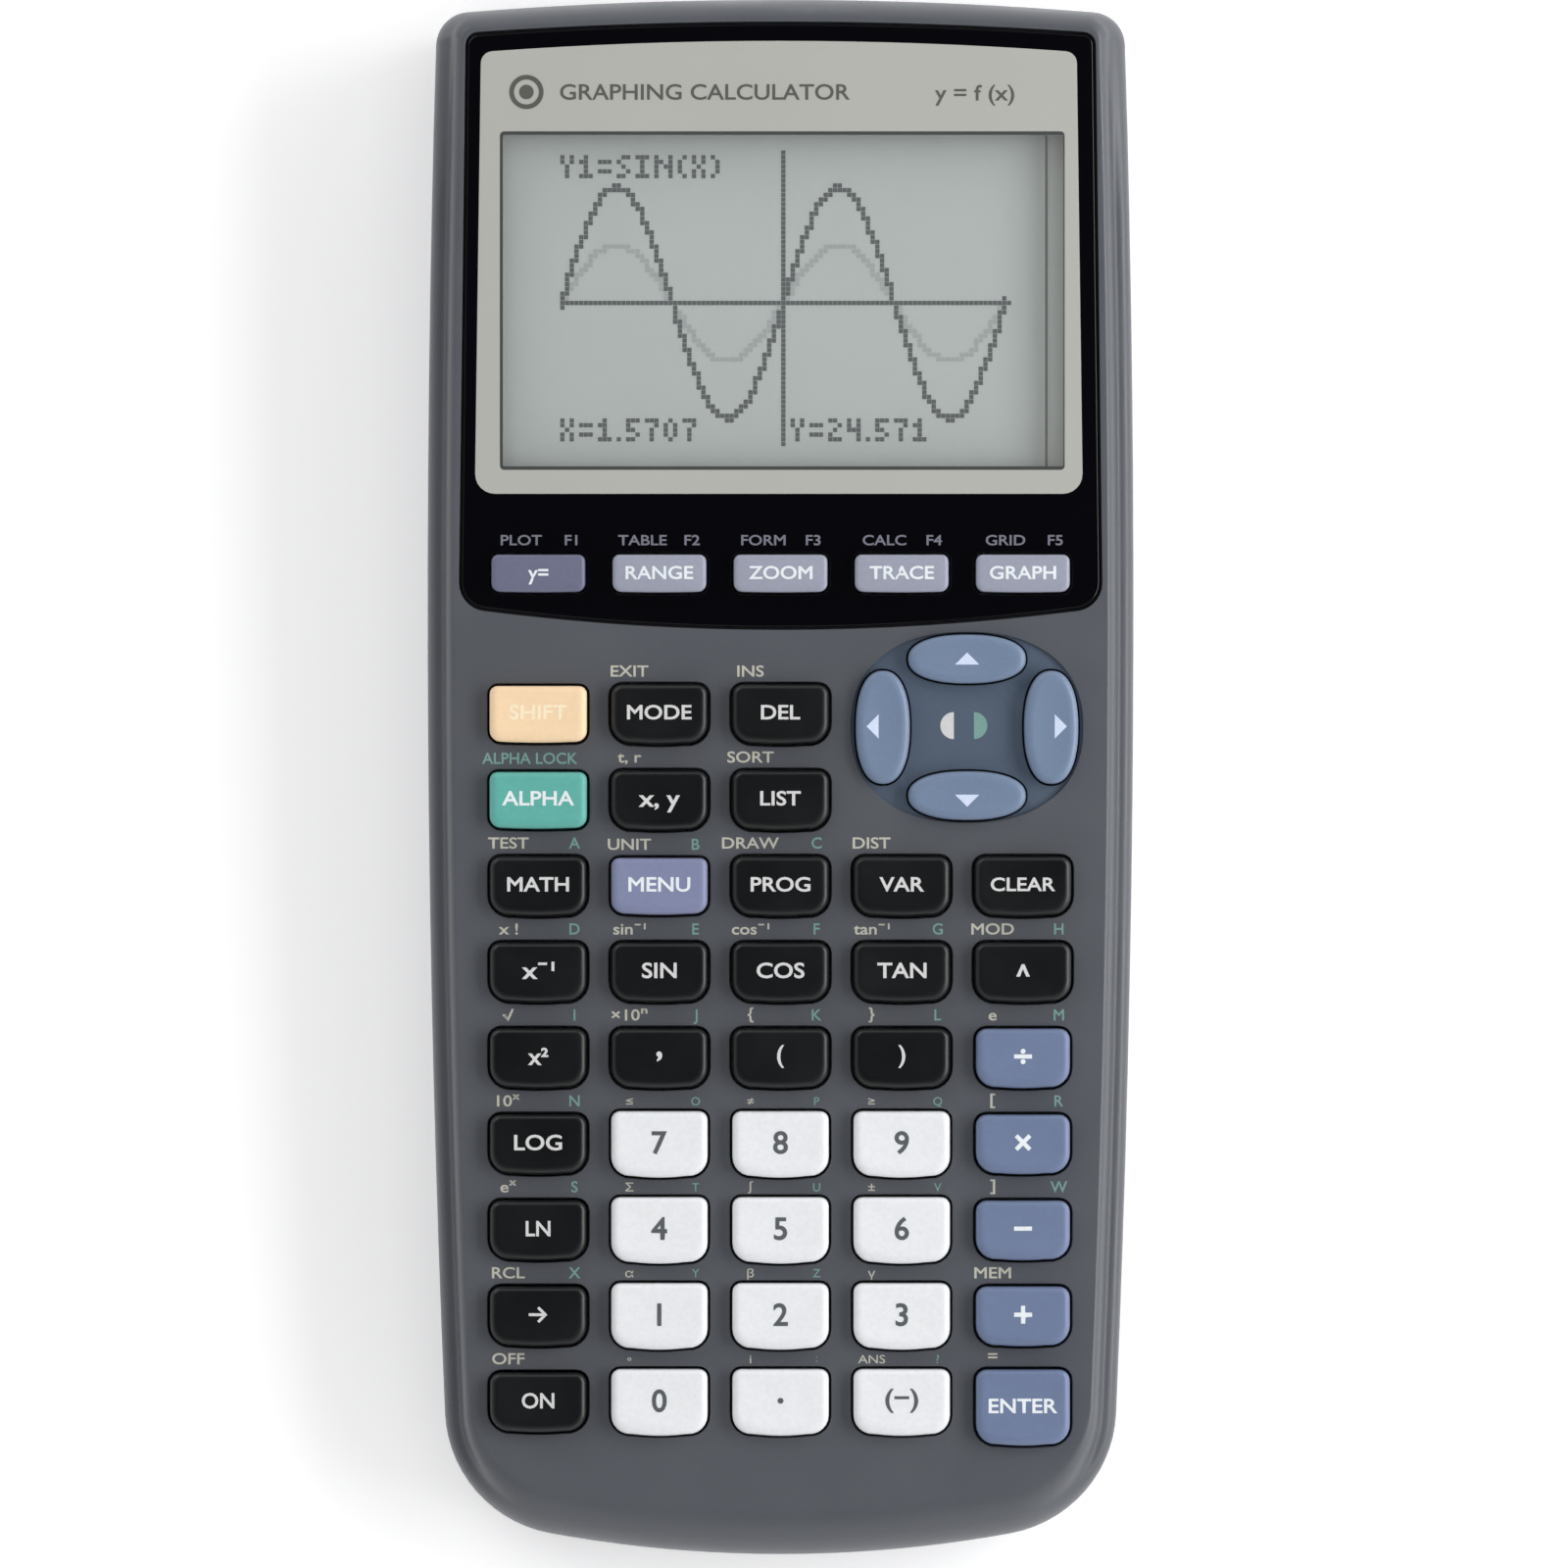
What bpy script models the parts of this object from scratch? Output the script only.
"""Graphing calculator: a two-part moulded case, a display, fifty keys and a battery cover.

Sizes are in millimetres, and make_mesh() turns them into metres. Everything is drawn in the
deck's own frame: x to the right, y towards the display, and h up out of the keypad's surface,
with the origin at the middle of the case. The case is a wedge, thicker at its display end, so
the deck leans by TILT once the back lies flat. Places on the back are given by how far they
are up from its outer surface.
"""

import math
from collections import namedtuple

import bmesh
import bpy

MM = 0.001

# The case in plan: four large arcs that meet in rounded corners. It is widest at SIDE_CENTRE.
LENGTH = 182.0
HALF_WIDTH = 41.3
SIDE_RADIUS = 2200.0
SIDE_CENTRE = 20.0
TOP_RADIUS = 465.0
BOTTOM_RADIUS = 150.0
TOP_CORNER = 4.0
BOTTOM_CORNER = 15.0
LEAST_CORNER = 0.8

# The case in section.
MIDDLE_DEPTH = 20.6
WEDGE_RISE = 6.0
FOOT_HEIGHT = 0.8
TILT = math.atan(WEDGE_RISE / LENGTH)
BACK_DEPTH = MIDDLE_DEPTH - FOOT_HEIGHT
WALL = 2.0
GAP = 0.3
PAST = 1.0
PARTING = -9.0
DECK_UNDERSIDE = -2.0
SLAB_UNDERSIDE = -3.5
SHOULDER = (
    (0.0, PARTING),
    (0.0, -4.8),
    (0.35, -3.4),
    (1.05, -2.8),
    (1.9, -2.65),
    (2.2, -1.4),
    (2.55, -0.5),
    (3.1, 0.0),
)
END_ROLL_DEPTH = 6.0
TOP_ROLL = 2.8
BOTTOM_ROLL = 6.0
BACK_EDGE = ((3.8, 0.0), (2.1, 0.5), (1.2, 1.5), (0.8, 3.0))
CAVITY_INSET = 4.2
SLAB_START = 15.2

# Display.
Panel = namedtuple("Panel", "top bottom half_top half_bottom rise_top rise_bottom r_top r_bottom")
BEZEL = Panel(87.7, 17.45, 36.4, 37.2, 1.3, 2.6, 1.2, 3.0)
BEZEL_FLOOR = -1.9
WINDOW_TOP = -0.2
LCD_OPENING = Panel(77.0, 35.0, 33.0, 33.0, 0.0, 0.0, 1.0, 1.0)
LCD_CENTRE = (0.6, 56.2)
LCD_GLASS = (68.4, 45.6)
LCD_BACKING = (66.0, 43.0)
LCD_LEVELS = (-6.4, -5.6, -3.8)

# Keys. under is the surface that holds the key's flange down.
Style = namedtuple("Style", "width height r_top r_bottom bulge rise material")
STYLES = {
    "dark": Style(11.2, 6.9, 1.2, 2.3, 0.5, 1.8, "dark_key"),
    "white": Style(11.2, 7.7, 1.0, 2.2, 0.65, 1.8, "white_key"),
    "yellow": Style(11.3, 6.6, 0.9, 1.3, 0.2, 1.8, "yellow_key"),
    "green": Style(11.3, 6.6, 0.9, 1.3, 0.2, 1.8, "green_key"),
    "lavender": Style(11.2, 6.6, 0.9, 1.5, 0.3, 1.8, "lavender_key"),
    "blue": Style(10.9, 6.9, 1.2, 2.3, 0.5, 1.8, "blue_key"),
    "enter": Style(10.9, 8.8, 1.2, 2.3, 0.6, 1.8, "blue_key"),
    "function": Style(10.9, 4.4, 0.8, 1.0, 0.1, 1.1, "function_key"),
}
KEY_PITCH_X = 14.1
KEY_PITCH_Y = 10.01
FIRST_ROW_Y = 7.3
FUNCTION_ROW_Y = 23.7
ENTER_DROP = 0.6
KEY_CHAMFER = 0.5
FLANGE_WIDTH = 0.8
FLANGE_HEIGHT = 0.8
TRAVEL = 1.0
FUNCTION_KEYS = ("equation", "window", "zoom", "trace", "graph")
KEY_ROWS = (
    ("shift", "mode", "delete"),
    ("alpha", "variable", "list"),
    ("math", "apps", "program", "vars", "clear"),
    ("inverse", "sin", "cos", "tan", "power"),
    ("square", "comma", "open_bracket", "close_bracket", "divide"),
    ("log", "7", "8", "9", "multiply"),
    ("ln", "4", "5", "6", "minus"),
    ("store", "1", "2", "3", "plus"),
    ("on", "0", "point", "negative", "enter"),
)
KEY_STYLES = {
    "shift": "yellow",
    "alpha": "green",
    "apps": "lavender",
    "divide": "blue",
    "multiply": "blue",
    "minus": "blue",
    "plus": "blue",
    "enter": "enter",
    "point": "white",
    "negative": "white",
}

# Cursor keys, each a rounded lens in a shallow oval dish.
PAD_CENTRE = (21.7, 5.8)
PAD_DISH = (26.8, 22.0)
PAD_DISH_DEPTH = 0.5
PAD_RISE = 1.5
PAD_POWER = 2.3
Arrow = namedtuple("Arrow", "name dx dy width height slab")
ARROWS = (
    Arrow("up", 0.0, 7.95, 13.7, 5.7, True),
    Arrow("down", 0.0, -7.95, 13.7, 5.7, False),
    Arrow("left", -9.8, 0.0, 6.3, 13.2, False),
    Arrow("right", 9.8, 0.0, 6.3, 13.2, False),
)

# Keypad membrane and circuit board.
MEMBRANE = Panel(28.5, -79.0, 34.5, 34.5, 0.0, 0.0, 1.0, 7.0)
MEMBRANE_LEVELS = (-7.8, -7.0)
DOME_RADII = (2.8, 1.7)
BOARD = Panel(30.0, -76.0, 34.5, 34.5, 0.0, 0.0, 1.0, 6.0)
BOARD_LEVELS = (-9.7, -8.1)
Chip = namedtuple("Chip", "x y width height drop")
CHIPS = (
    Chip(12.0, 4.0, 16.0, 16.0, 1.6),
    Chip(12.0, -20.0, 10.0, 15.0, 1.4),
    Chip(-12.0, -18.0, 4.0, 10.0, 2.4),
    Chip(-14.0, -40.0, 9.0, 7.0, 1.6),
    Chip(8.0, -48.0, 6.0, 6.0, 1.4),
)

# Battery bay, its cover and the cells.
BAY_HALF_WIDTH = 23.0
BAY_BOTTOM = 34.0
BAY_TOP = 83.0
BAY_WALL = 1.6
BAY_CEILING = -7.7
BAY_ROOF = -6.7
PLINTH = Panel(87.2, 30.5, 28.5, 28.5, 0.0, 0.0, 2.0, 2.0)
PLINTH_HEIGHT = 4.1
HINGE_Y = 32.0
COVER = Panel(85.0, HINGE_Y + GAP, 26.5, 26.5, 0.0, 0.0, 2.0, 2.0)
COVER_THICKNESS = 1.8
COVER_RECESS_DEPTH = 2.1
TAB_X = (-12.0, 12.0)
TAB_WIDTH = 8.0
TAB_REACH = -1.2
TAB_LEVELS = (2.3, 3.1)
TAB_ROOT = (0.5, 1.3)
TAB_SLOT_LEVELS = (2.0, 4.2)
CELL_RADIUS = 5.2
CELL_LENGTH = 44.5
CELL_START = 36.5
CELL_SPACING = 10.8
CELL_LEVEL = -13.2
STRIP_HALF_WIDTH = 21.0
STRIP_THICKNESS = 1.0
STRIP_LEVELS = (-17.5, -9.0)

# Backup cell under the board, and the link jack in the lower end wall.
BACKUP_CENTRE = (-18.0, 14.0)
BACKUP_RADIUS = 8.0
BACKUP_LEVELS = (-12.2, -10.0)
JACK_LEVEL = -12.3
JACK_TIP = -90.2
JACK_STEP = -85.6
JACK_END = -77.0
JACK_BORE = 1.25
JACK_NOSE = 2.1
JACK_BODY = 2.4
JACK_BORE_DEPTH = 10.0

# Features of the back.
SCREW_PLACES = [(side * 31.6, y) for side in (-1, 1) for y in (66.0, 8.0, -56.0)]
SCREW_RECESS_RADIUS = 2.8
SCREW_RECESS_DEPTH = 1.2
POST_RADIUS = 2.6
POST_TOP = -10.2
FOOT_PLACES = [(side * x, y) for side in (-1, 1) for x, y in ((31.5, 80.0), (28.0, -74.0))]
FOOT_RADIUS = 3.2
LABEL = Panel(-14.0, -56.0, 20.0, 20.0, 0.0, 0.0, 2.0, 2.0)
LABEL_DEPTH = 0.3

MATERIALS = {
    "case_plastic": ((0.080, 0.084, 0.098), 0.45, 0.0),
    "window_plastic": ((0.006, 0.006, 0.007), 0.08, 0.0),
    "display_glass": ((0.392, 0.434, 0.416), 0.2, 0.0),
    "board_laminate": ((0.02, 0.12, 0.05), 0.5, 0.0),
    "membrane_rubber": ((0.35, 0.36, 0.37), 0.7, 0.0),
    "cell_jacket": ((0.12, 0.13, 0.15), 0.35, 0.4),
    "cell_steel": ((0.6, 0.6, 0.6), 0.3, 1.0),
    "jack_plastic": ((0.02, 0.02, 0.02), 0.5, 0.0),
    "dark_key": ((0.008, 0.009, 0.011), 0.4, 0.0),
    "white_key": ((0.831, 0.831, 0.831), 0.4, 0.0),
    "yellow_key": ((0.956, 0.658, 0.352), 0.4, 0.0),
    "green_key": ((0.080, 0.456, 0.352), 0.4, 0.0),
    "lavender_key": ((0.223, 0.223, 0.485), 0.4, 0.0),
    "blue_key": ((0.141, 0.188, 0.402), 0.4, 0.0),
    "arrow_key": ((0.156, 0.242, 0.429), 0.4, 0.0),
    "function_key": ((0.376, 0.402, 0.515), 0.4, 0.0),
}


# Outlines: lists of (x, y) points in plan, counter-clockwise.


def arc(centre, radius, start, end, steps):
    """Points along an arc from angle start to angle end, without its first point."""
    points = []
    for i in range(1, steps + 1):
        angle = start + (end - start) * i / steps
        points.append((centre[0] + radius * math.cos(angle), centre[1] + radius * math.sin(angle)))
    return points


def angle_from(centre, point):
    return math.atan2(point[1] - centre[1], point[0] - centre[0])


def circles_meet(a, a_radius, b, b_radius):
    """Where two circles cross, on the side of the larger x."""
    dx = b[0] - a[0]
    dy = b[1] - a[1]
    apart = math.hypot(dx, dy)
    along = (a_radius**2 - b_radius**2 + apart**2) / (2 * apart)
    across = math.sqrt(a_radius**2 - along**2)
    middle = (a[0] + along * dx / apart, a[1] + along * dy / apart)
    crossings = [
        (middle[0] + way * across * dy / apart, middle[1] - way * across * dx / apart)
        for way in (-1, 1)
    ]
    return max(crossings)


def case_outline(side=0.0, top=0.0, bottom=0.0):
    """The case's outline, set in by its own amount at the sides and at each end."""
    flank = (HALF_WIDTH - SIDE_RADIUS, SIDE_CENTRE)
    low = (0.0, BOTTOM_RADIUS - LENGTH / 2)
    high = (0.0, LENGTH / 2 - TOP_RADIUS)
    side_radius = SIDE_RADIUS - side
    low_radius = BOTTOM_RADIUS - bottom
    high_radius = TOP_RADIUS - top
    low_corner = max(BOTTOM_CORNER - (side + bottom) / 2, LEAST_CORNER)
    high_corner = max(TOP_CORNER - (side + top) / 2, LEAST_CORNER)
    low_centre = circles_meet(flank, side_radius - low_corner, low, low_radius - low_corner)
    high_centre = circles_meet(flank, side_radius - high_corner, high, high_radius - high_corner)
    half = [(0.0, low[1] - low_radius)]
    half += arc(low, low_radius, -math.pi / 2, angle_from(low, low_centre), 4)
    half += arc(
        low_centre,
        low_corner,
        angle_from(low, low_centre),
        angle_from(flank, low_centre),
        5,
    )
    half += arc(
        flank,
        side_radius,
        angle_from(flank, low_centre),
        angle_from(flank, high_centre),
        4,
    )
    half += arc(
        high_centre,
        high_corner,
        angle_from(flank, high_centre),
        angle_from(high, high_centre),
        3,
    )
    half += arc(high, high_radius, angle_from(high, high_centre), math.pi / 2, 3)
    return half + [(-x, y) for x, y in reversed(half[1:-1])]


def fillet(corner, before, after, radius, steps):
    """Points that round a corner between the directions before and after it."""
    start = math.atan2(before[1], before[0])
    turn = (math.atan2(after[1], after[0]) - start) % (2 * math.pi)
    reach = radius * math.tan(turn / 2)
    x = corner[0] - reach * math.cos(start)
    y = corner[1] - reach * math.sin(start)
    centre = (x - radius * math.sin(start), y + radius * math.cos(start))
    first = start - math.pi / 2
    return [(x, y)] + arc(centre, radius, first, first + turn, steps)


def panel_outline(panel, grow=0.0, corner_steps=(2, 3), edge_steps=(1, 1)):
    """A panel with straight sides, rounded corners and ends that may be gently arched.

    corner_steps and edge_steps are for the top and then the bottom.
    """
    half_top = panel.half_top + grow
    half_bottom = panel.half_bottom + grow
    top = panel.top + grow
    bottom = panel.bottom - grow
    top_slope = 2 * panel.rise_top / half_top
    bottom_slope = 2 * panel.rise_bottom / half_bottom
    right = (half_bottom, bottom + panel.rise_bottom)
    upper = (half_top, top - panel.rise_top)
    side = (upper[0] - right[0], upper[1] - right[1])
    low = fillet(right, (1, bottom_slope), side, panel.r_bottom + grow, corner_steps[1])
    high = fillet(upper, side, (-1, top_slope), panel.r_top + grow, corner_steps[0])
    loop = low + high
    for i in range(1, edge_steps[0]):
        x = high[-1][0] * (1 - 2 * i / edge_steps[0])
        loop.append((x, top - panel.rise_top * (x / half_top) ** 2))
    loop += [(-x, y) for x, y in reversed(low + high)]
    for i in range(1, edge_steps[1]):
        x = low[0][0] * (2 * i / edge_steps[1] - 1)
        loop.append((x, bottom + panel.rise_bottom * (x / half_bottom) ** 2))
    return loop


def rectangle(x_low, x_high, y_low, y_high):
    return [(x_low, y_low), (x_high, y_low), (x_high, y_high), (x_low, y_high)]


def centred(centre, size):
    x, y = centre
    width, height = size
    return rectangle(x - width / 2, x + width / 2, y - height / 2, y + height / 2)


def circle(centre, radius, steps=12):
    return arc(centre, radius, 0.0, 2 * math.pi, steps)


def lens(width, height, power, steps=14):
    """A superellipse: between an oval and a rectangle."""
    points = []
    for i in range(steps):
        angle = 2 * math.pi * (i + 0.5) / steps
        c = math.cos(angle)
        s = math.sin(angle)
        x = width / 2 * math.copysign(abs(c) ** (2 / power), c)
        y = height / 2 * math.copysign(abs(s) ** (2 / power), s)
        points.append((x, y))
    return points


def moved(outline, centre):
    return [(x + centre[0], y + centre[1]) for x, y in outline]


# Rings: outlines placed in space, as (x, y, h) points.


def ring(outline, h):
    """An outline at one level of the deck."""
    return [(x, y, h) for x, y in outline]


def back_point(x, y, up):
    """A point up from the back's outer surface, square to it."""
    surface = -(BACK_DEPTH + y * math.tan(TILT))
    return (x, y + up * math.sin(TILT), surface + up * math.cos(TILT))


def back_ring(outline, up):
    return [back_point(x, y, up) for x, y in outline]


def prism(outline, low, high):
    return [ring(outline, low), ring(outline, high)]


def back_prism(outline, low, high):
    return [back_ring(outline, low), back_ring(outline, high)]


def end_ring(centre, radius, y, steps=16):
    """A circle square to the case's length, which turns so that a loft along +y faces out."""
    x, h = centre
    points = []
    for i in range(steps):
        angle = 2 * math.pi * i / steps
        points.append((x + radius * math.sin(angle), y, h + radius * math.cos(angle)))
    return points


# Meshes and objects.


def add_body(bm, rings, origin):
    """One closed body: rings with equal point counts, skinned in order and capped at both ends."""
    loops = []
    for points in rings:
        local = [[(p - o) * MM for p, o in zip(point, origin)] for point in points]
        loops.append([bm.verts.new(point) for point in local])
    count = len(loops[0])
    for low, high in zip(loops, loops[1:]):
        for i in range(count):
            j = (i + 1) % count
            bm.faces.new((low[i], low[j], high[j], high[i]))
    bm.faces.new(list(reversed(loops[0])))
    bm.faces.new(loops[-1])


def make_mesh(name, bodies, origin=(0.0, 0.0, 0.0)):
    """A mesh in metres of one or more closed bodies, about the given origin."""
    bm = bmesh.new()
    for rings in bodies:
        add_body(bm, rings, origin)
    mesh = bpy.data.meshes.new(name)
    bm.to_mesh(mesh)
    bm.free()
    return mesh


def make_object(name, bodies, deck, origin=(0.0, 0.0, 0.0)):
    item = bpy.data.objects.new(name, make_mesh(name, bodies, origin))
    item.location = [value * MM for value in origin]
    item.parent = deck
    bpy.context.scene.collection.objects.link(item)
    return item


def make_materials():
    made = {}
    for name, (colour, roughness, metallic) in MATERIALS.items():
        material = bpy.data.materials.new(name)
        material.use_nodes = True
        shader = material.node_tree.nodes["Principled BSDF"]
        shader.inputs["Base Color"].default_value = (*colour, 1.0)
        shader.inputs["Roughness"].default_value = roughness
        shader.inputs["Metallic"].default_value = metallic
        made[name] = material
    return made


def reshape(item, tool_name, operation, bodies, deck):
    """Adds or cuts away closed bodies, which don't overlap one another, with a Boolean."""
    tool = make_object(item.name + "_" + tool_name, bodies, deck)
    tool.hide_render = True
    tool.display_type = "WIRE"
    boolean = item.modifiers.new(tool_name, "BOOLEAN")
    boolean.operation = operation
    boolean.object = tool


# Keys.


def key_list():
    """Every key on the grid as (name, style, centre)."""
    keys = []
    for column, name in enumerate(FUNCTION_KEYS):
        keys.append((name, STYLES["function"], ((column - 2) * KEY_PITCH_X, FUNCTION_ROW_Y)))
    for row, names in enumerate(KEY_ROWS):
        for column, name in enumerate(names):
            style_name = "white" if name.isdigit() else KEY_STYLES.get(name, "dark")
            y = FIRST_ROW_Y - row * KEY_PITCH_Y
            if name == "enter":
                y -= ENTER_DROP
            keys.append((name, STYLES[style_name], ((column - 2) * KEY_PITCH_X, y)))
    return keys


def key_outline(style, grow=0.0):
    half = style.width / 2
    top = style.height / 2
    panel = Panel(top, -top, half, half, 0.0, style.bulge, style.r_top, style.r_bottom)
    return panel_outline(panel, grow, corner_steps=(1, 2), edge_steps=(1, 2))


def arrow_outline(arrow, grow=0.0):
    return lens(arrow.width + 2 * grow, arrow.height + 2 * grow, PAD_POWER)


def arrow_centre(arrow):
    return (PAD_CENTRE[0] + arrow.dx, PAD_CENTRE[1] + arrow.dy)


def flange_top(behind_slab):
    return (SLAB_UNDERSIDE if behind_slab else DECK_UNDERSIDE) - GAP


def key_rings(outline_at, rise, top_of_flange):
    """A key: a flange that the deck holds down, its wall, and a chamfered top."""
    flange = outline_at(FLANGE_WIDTH)
    body = outline_at(0.0)
    return [
        ring(flange, top_of_flange - FLANGE_HEIGHT),
        ring(flange, top_of_flange),
        ring(body, top_of_flange),
        ring(body, rise - KEY_CHAMFER),
        ring(outline_at(-KEY_CHAMFER), rise),
    ]


def key_apertures():
    """The holes in the deck for all the keys, and in the display's slab for those behind it."""
    low = SLAB_UNDERSIDE - PAST
    high = PAST
    bodies = []
    for _, style, centre in key_list():
        bodies.append(prism(moved(key_outline(style, GAP), centre), low, high))
    for arrow in ARROWS:
        bodies.append(prism(moved(arrow_outline(arrow, GAP), arrow_centre(arrow)), low, high))
    return bodies


def make_keys(deck, materials):
    for name, style, centre in key_list():
        behind_slab = name in FUNCTION_KEYS
        rings = key_rings(lambda grow, s=style: key_outline(s, grow), style.rise, flange_top(behind_slab))
        key = make_object("key_" + name, [rings], deck)
        key.location = (centre[0] * MM, centre[1] * MM, 0.0)
        key.data.materials.append(materials[style.material])
    for arrow in ARROWS:
        rings = key_rings(lambda grow, a=arrow: arrow_outline(a, grow), PAD_RISE, flange_top(arrow.slab))
        key = make_object("key_" + arrow.name, [rings], deck)
        x, y = arrow_centre(arrow)
        key.location = (x * MM, y * MM, 0.0)
        key.data.materials.append(materials["arrow_key"])


# Case, display and insides.


def end_roll(reach, h):
    """How far an end has rolled in at level h: a quarter ellipse over the last END_ROLL_DEPTH."""
    climbed = max(0.0, 1 + h / END_ROLL_DEPTH)
    return reach * (1 - math.sqrt(1 - climbed**2))


def make_front_case(deck):
    rings = [
        ring(case_outline(side, end_roll(TOP_ROLL, h), end_roll(BOTTOM_ROLL, h)), h)
        for side, h in SHOULDER
    ]
    case = make_object("front_case", [rings], deck)
    upper = case_outline(CAVITY_INSET, 2.6, 4.0)
    cavity = [
        ring(case_outline(WALL, WALL, WALL), PARTING - PAST),
        ring(case_outline(WALL, WALL, WALL), -5.8),
        ring(upper, -4.6),
        ring(upper, SLAB_UNDERSIDE),
    ]
    reshape(case, "cavity", "DIFFERENCE", [cavity], deck)
    pocket = case_outline(CAVITY_INSET + 0.2, LENGTH / 2 - SLAB_START, 4.2)
    pocket_rings = prism(pocket, SLAB_UNDERSIDE - PAST, DECK_UNDERSIDE)
    reshape(case, "keypad_pocket", "DIFFERENCE", [pocket_rings], deck)
    recess = panel_outline(BEZEL, GAP, edge_steps=(6, 6))
    reshape(case, "bezel_recess", "DIFFERENCE", [prism(recess, BEZEL_FLOOR, PAST)], deck)
    dish = moved(lens(*PAD_DISH, 2.0, 24), PAD_CENTRE)
    reshape(case, "cursor_dish", "DIFFERENCE", [prism(dish, -PAD_DISH_DEPTH, PAST)], deck)
    lcd_hole = prism(panel_outline(LCD_OPENING), SLAB_UNDERSIDE - PAST, PAST)
    reshape(case, "apertures", "DIFFERENCE", key_apertures() + [lcd_hole], deck)
    return case


def make_rear_case(deck):
    rings = [back_ring(case_outline(inset, inset, inset), up) for inset, up in BACK_EDGE]
    rings += [
        ring(case_outline(), PARTING - GAP),
        ring(case_outline(WALL, WALL, WALL), PARTING - GAP),
        back_ring(case_outline(2.8, 2.8, 2.8), WALL + 2.5),
        back_ring(case_outline(4.4, 4.4, 4.4), WALL),
    ]
    case = make_object("rear_case", [rings], deck)
    plinth = panel_outline(PLINTH)
    walls = Panel(BAY_TOP + BAY_WALL, BAY_BOTTOM - BAY_WALL, *[BAY_HALF_WIDTH + BAY_WALL] * 2, 0, 0, 1, 1)
    bay = [
        back_ring(plinth, WALL / 2),
        back_ring(plinth, PLINTH_HEIGHT),
        back_ring(panel_outline(walls), PLINTH_HEIGHT),
        ring(panel_outline(walls), BAY_ROOF),
    ]
    reshape(case, "bay", "UNION", [bay], deck)
    posts = [
        [back_ring(circle(place, POST_RADIUS, 8), WALL / 2), ring(circle(place, POST_RADIUS, 8), POST_TOP)]
        for place in SCREW_PLACES
    ]
    feet = [
        back_prism(circle(place, FOOT_RADIUS), -FOOT_HEIGHT, WALL / 3) for place in FOOT_PLACES
    ]
    reshape(case, "posts_and_feet", "UNION", posts + feet, deck)
    hollow = rectangle(-BAY_HALF_WIDTH, BAY_HALF_WIDTH, BAY_BOTTOM, BAY_TOP)
    cuts = [[back_ring(hollow, -PAST), ring(hollow, BAY_CEILING)]]
    cuts += [
        back_prism(circle(place, SCREW_RECESS_RADIUS), -PAST, SCREW_RECESS_DEPTH)
        for place in SCREW_PLACES
    ]
    cuts.append(back_prism(panel_outline(LABEL), -PAST, LABEL_DEPTH))
    hole = JACK_NOSE + GAP
    cuts.append([end_ring((0.0, JACK_LEVEL), hole, y) for y in (-LENGTH / 2 - PAST, JACK_STEP + PAST)])
    reshape(case, "hollows", "DIFFERENCE", cuts, deck)
    recess = back_prism(panel_outline(COVER, GAP), -PAST, COVER_RECESS_DEPTH)
    reshape(case, "cover_recess", "DIFFERENCE", [recess], deck)
    slots = [
        back_prism(
            rectangle(
                x - TAB_WIDTH / 2 - GAP,
                x + TAB_WIDTH / 2 + GAP,
                HINGE_Y - WALL,
                BAY_BOTTOM + PAST,
            ),
            *TAB_SLOT_LEVELS,
        )
        for x in TAB_X
    ]
    reshape(case, "tab_slots", "DIFFERENCE", slots, deck)
    return case


def make_battery_cover(deck):
    """The cover with its two hook tabs. Its origin is on the edge that it swings about."""
    pivot = back_point(0.0, HINGE_Y, 0.0)
    plate = back_prism(panel_outline(COVER), 0.0, COVER_THICKNESS)
    cover = make_object("battery_cover", [plate], deck, pivot)
    low, high = TAB_LEVELS
    root_start, root_end = TAB_ROOT
    profile = (
        (root_start, COVER_THICKNESS / 2),
        (root_end, COVER_THICKNESS / 2),
        (root_end, high),
        (TAB_REACH, high),
        (TAB_REACH, low),
        (root_start, low),
    )
    tabs = []
    for x in TAB_X:
        ends = (x - TAB_WIDTH / 2, x + TAB_WIDTH / 2)
        tabs.append([[back_point(end, HINGE_Y + dy, up) for dy, up in profile] for end in ends])
    reshape(cover, "tabs", "UNION", tabs, deck)
    return cover


def make_window(deck):
    outline = panel_outline(BEZEL, edge_steps=(6, 6))
    window = make_object("display_window", [prism(outline, BEZEL_FLOOR + GAP, WINDOW_TOP)], deck)
    slots = [
        prism(moved(key_outline(style, GAP), centre), BEZEL_FLOOR - PAST, PAST)
        for name, style, centre in key_list()
        if name in FUNCTION_KEYS
    ]
    reshape(window, "key_slots", "DIFFERENCE", slots, deck)
    return window


def make_lcd_panel(deck):
    backing = centred(LCD_CENTRE, LCD_BACKING)
    glass = centred(LCD_CENTRE, LCD_GLASS)
    low, step, high = LCD_LEVELS
    rings = [ring(backing, low), ring(backing, step), ring(glass, step), ring(glass, high)]
    return make_object("lcd_panel", [rings], deck)


def make_membrane(deck):
    """The rubber sheet. Its domes are drawn as they are when fully pressed."""
    low, high = MEMBRANE_LEVELS
    sheet = make_object("keypad_membrane", [prism(panel_outline(MEMBRANE), low, high)], deck)
    centres = [(centre, name in FUNCTION_KEYS) for name, _, centre in key_list()]
    centres += [(arrow_centre(arrow), arrow.slab) for arrow in ARROWS]
    domes = []
    for centre, behind_slab in centres:
        top = flange_top(behind_slab) - FLANGE_HEIGHT - TRAVEL - GAP
        foot = ring(circle(centre, DOME_RADII[0], 8), (low + high) / 2)
        domes.append([foot, ring(circle(centre, DOME_RADII[1], 8), top)])
    reshape(sheet, "domes", "UNION", domes, deck)
    return sheet


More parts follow.
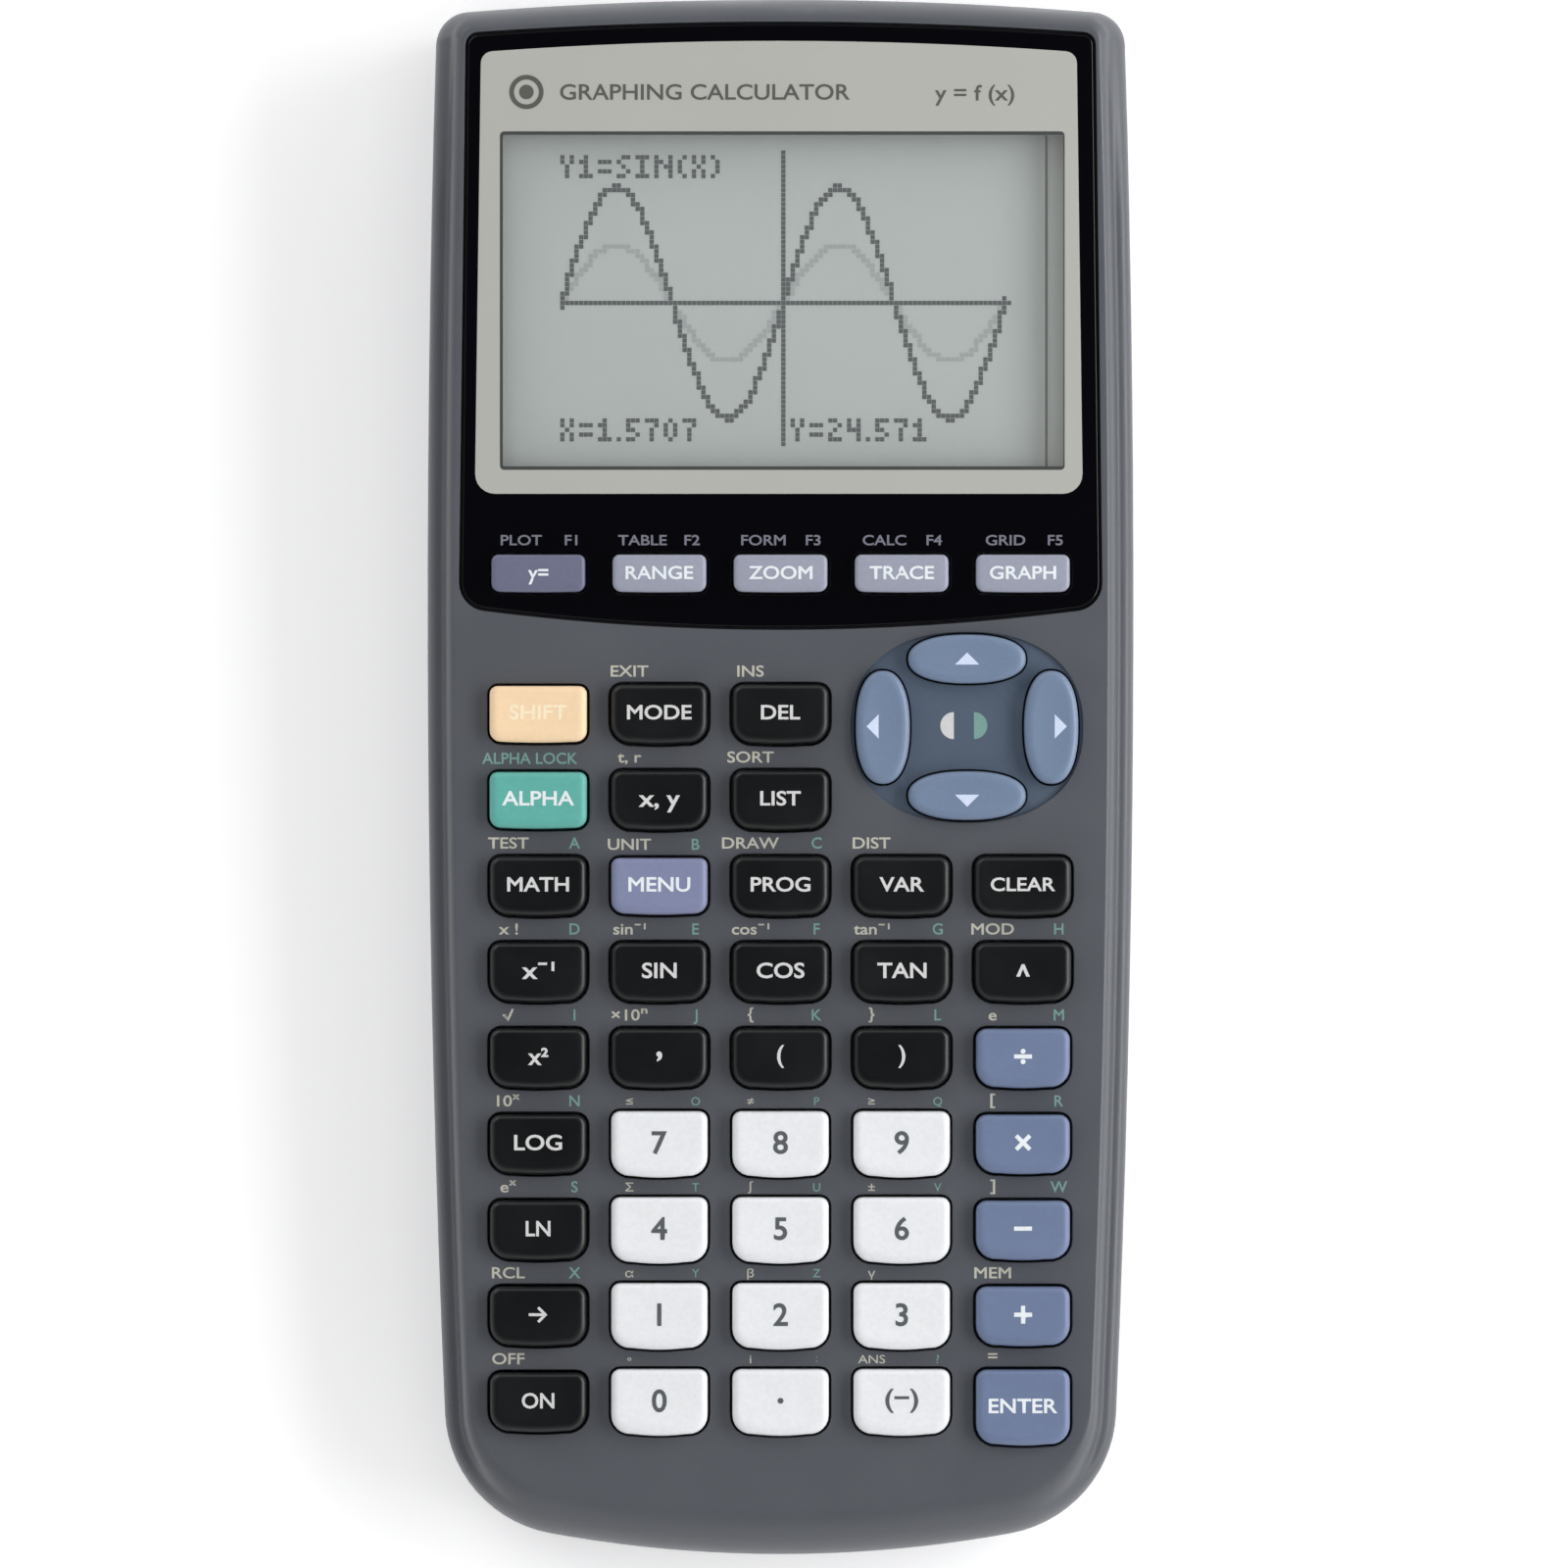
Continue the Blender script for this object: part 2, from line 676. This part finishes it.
def make_board(deck):
    low, high = BOARD_LEVELS
    board = make_object("circuit_board", [prism(panel_outline(BOARD), low, high)], deck)
    chips = [
        prism(centred((chip.x, chip.y), (chip.width, chip.height)), low - chip.drop, low + GAP)
        for chip in CHIPS
    ]
    reshape(board, "chips", "UNION", chips, deck)
    return board


def make_cells(deck):
    """Four cells side by side, joined by the contact strips at their ends."""
    strips = []
    for y in (CELL_START, CELL_START + CELL_LENGTH):
        outline = centred((0.0, y), (2 * STRIP_HALF_WIDTH, STRIP_THICKNESS))
        strips.append(prism(outline, *STRIP_LEVELS))
    cells = make_object("battery_cells", strips[:1], deck)
    tubes = []
    for i in range(4):
        centre = ((i - 1.5) * CELL_SPACING, CELL_LEVEL)
        ends = (CELL_START, CELL_START + CELL_LENGTH)
        tubes.append([end_ring(centre, CELL_RADIUS, y) for y in ends])
    reshape(cells, "tubes", "UNION", tubes, deck)
    reshape(cells, "far_strip", "UNION", strips[1:], deck)
    return cells


def make_backup_cell(deck):
    return make_object("backup_cell", [prism(circle(BACKUP_CENTRE, BACKUP_RADIUS, 20), *BACKUP_LEVELS)], deck)


def make_link_jack(deck):
    """A turned socket: down into its blind bore, round its nose, and back along its body."""
    profile = (
        (JACK_BORE, JACK_TIP + JACK_BORE_DEPTH),
        (JACK_BORE, JACK_TIP),
        (JACK_NOSE, JACK_TIP),
        (JACK_NOSE, JACK_STEP),
        (JACK_BODY, JACK_STEP),
        (JACK_BODY, JACK_END),
    )
    rings = [end_ring((0.0, JACK_LEVEL), radius, y) for radius, y in profile]
    return make_object("link_jack", [rings], deck)


def stand_on_feet(deck, shells):
    """Leans the deck so that the back lies flat, and centres the case over the world origin."""
    lean_sin = math.sin(TILT)
    lean_cos = math.cos(TILT)
    reach = [v.co.y * lean_cos - v.co.z * lean_sin for shell in shells for v in shell.data.vertices]
    height = (BACK_DEPTH * lean_cos + FOOT_HEIGHT) * MM
    deck.rotation_euler = (TILT, 0.0, 0.0)
    deck.location = (0.0, -(min(reach) + max(reach)) / 2, height)


def main():
    for item in list(bpy.data.objects):
        bpy.data.objects.remove(item)
    materials = make_materials()
    deck = bpy.data.objects.new("deck", None)
    bpy.context.scene.collection.objects.link(deck)
    front = make_front_case(deck)
    rear = make_rear_case(deck)
    finishes = {
        "case_plastic": (front, rear, make_battery_cover(deck)),
        "window_plastic": (make_window(deck),),
        "display_glass": (make_lcd_panel(deck),),
        "board_laminate": (make_board(deck),),
        "membrane_rubber": (make_membrane(deck),),
        "cell_jacket": (make_cells(deck),),
        "cell_steel": (make_backup_cell(deck),),
        "jack_plastic": (make_link_jack(deck),),
    }
    for finish, items in finishes.items():
        for item in items:
            item.data.materials.append(materials[finish])
    make_keys(deck, materials)
    stand_on_feet(deck, (front, rear))


main()
